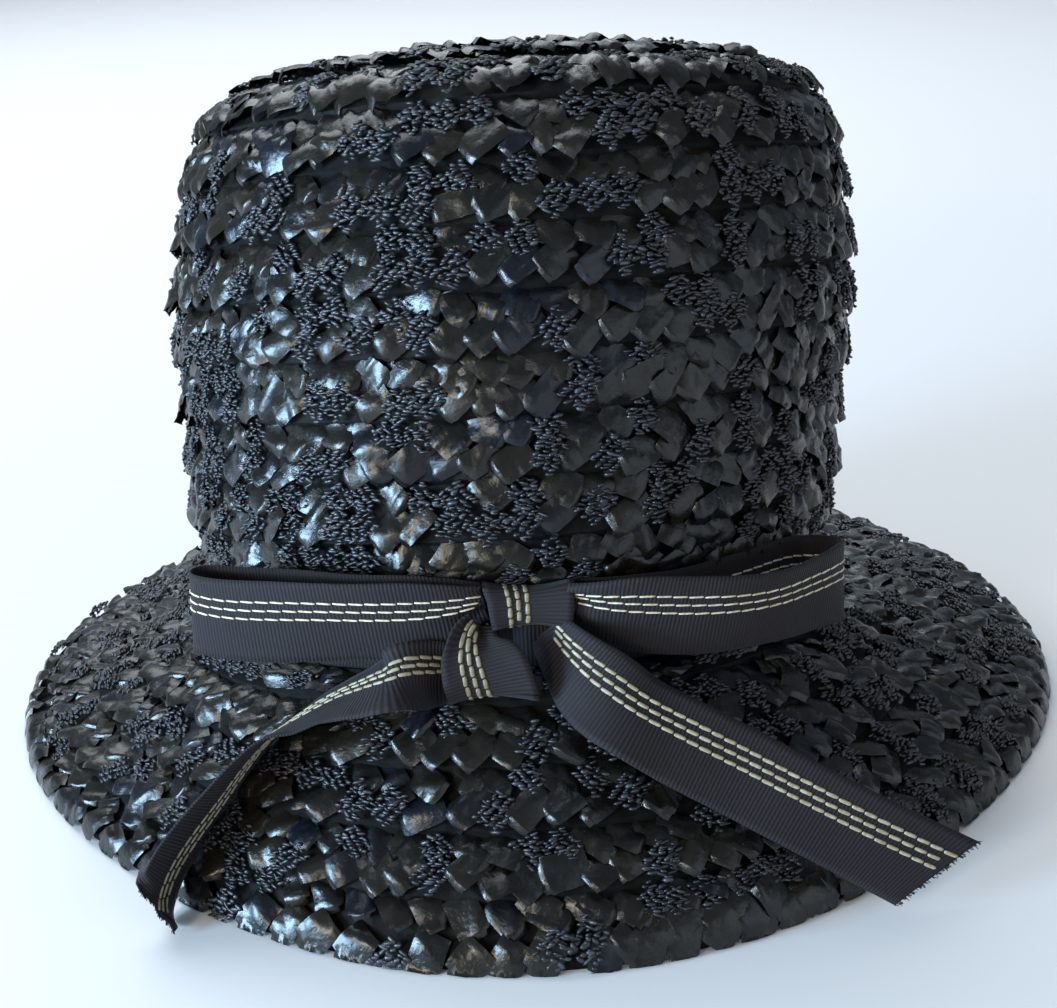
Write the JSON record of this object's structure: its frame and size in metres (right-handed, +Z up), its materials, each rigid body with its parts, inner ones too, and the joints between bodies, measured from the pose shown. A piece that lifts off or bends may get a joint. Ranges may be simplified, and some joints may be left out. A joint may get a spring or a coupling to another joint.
{
  "type": "straw bowler hat",
  "caption": "Tall straw hat of sewn braid with a sloping brim, a narrow ribbon band and a flat bow with long tails at the front.",
  "frame": {"origin": "middle of the brim's rim, on the surface that the hat stands on", "axes": "+Z up through the crown, the bow at the front on -Y, +X to the right seen from the front"},
  "size_m": [0.3, 0.3, 0.1902],
  "materials": {
    "straw_braid": "glossy dark straw braid",
    "grosgrain": "matt ribbed ribbon with cream stitching"
  },
  "bodies": {
    "root": {"crown": "straw_braid", "brim": "straw_braid", "hat_band": "grosgrain", "bow_left_loop": "grosgrain", "bow_right_loop": "grosgrain", "bow_knot": "grosgrain", "knot_end": "grosgrain", "left_tail": "grosgrain", "right_tail": "grosgrain"}
  },
  "joints": []
}
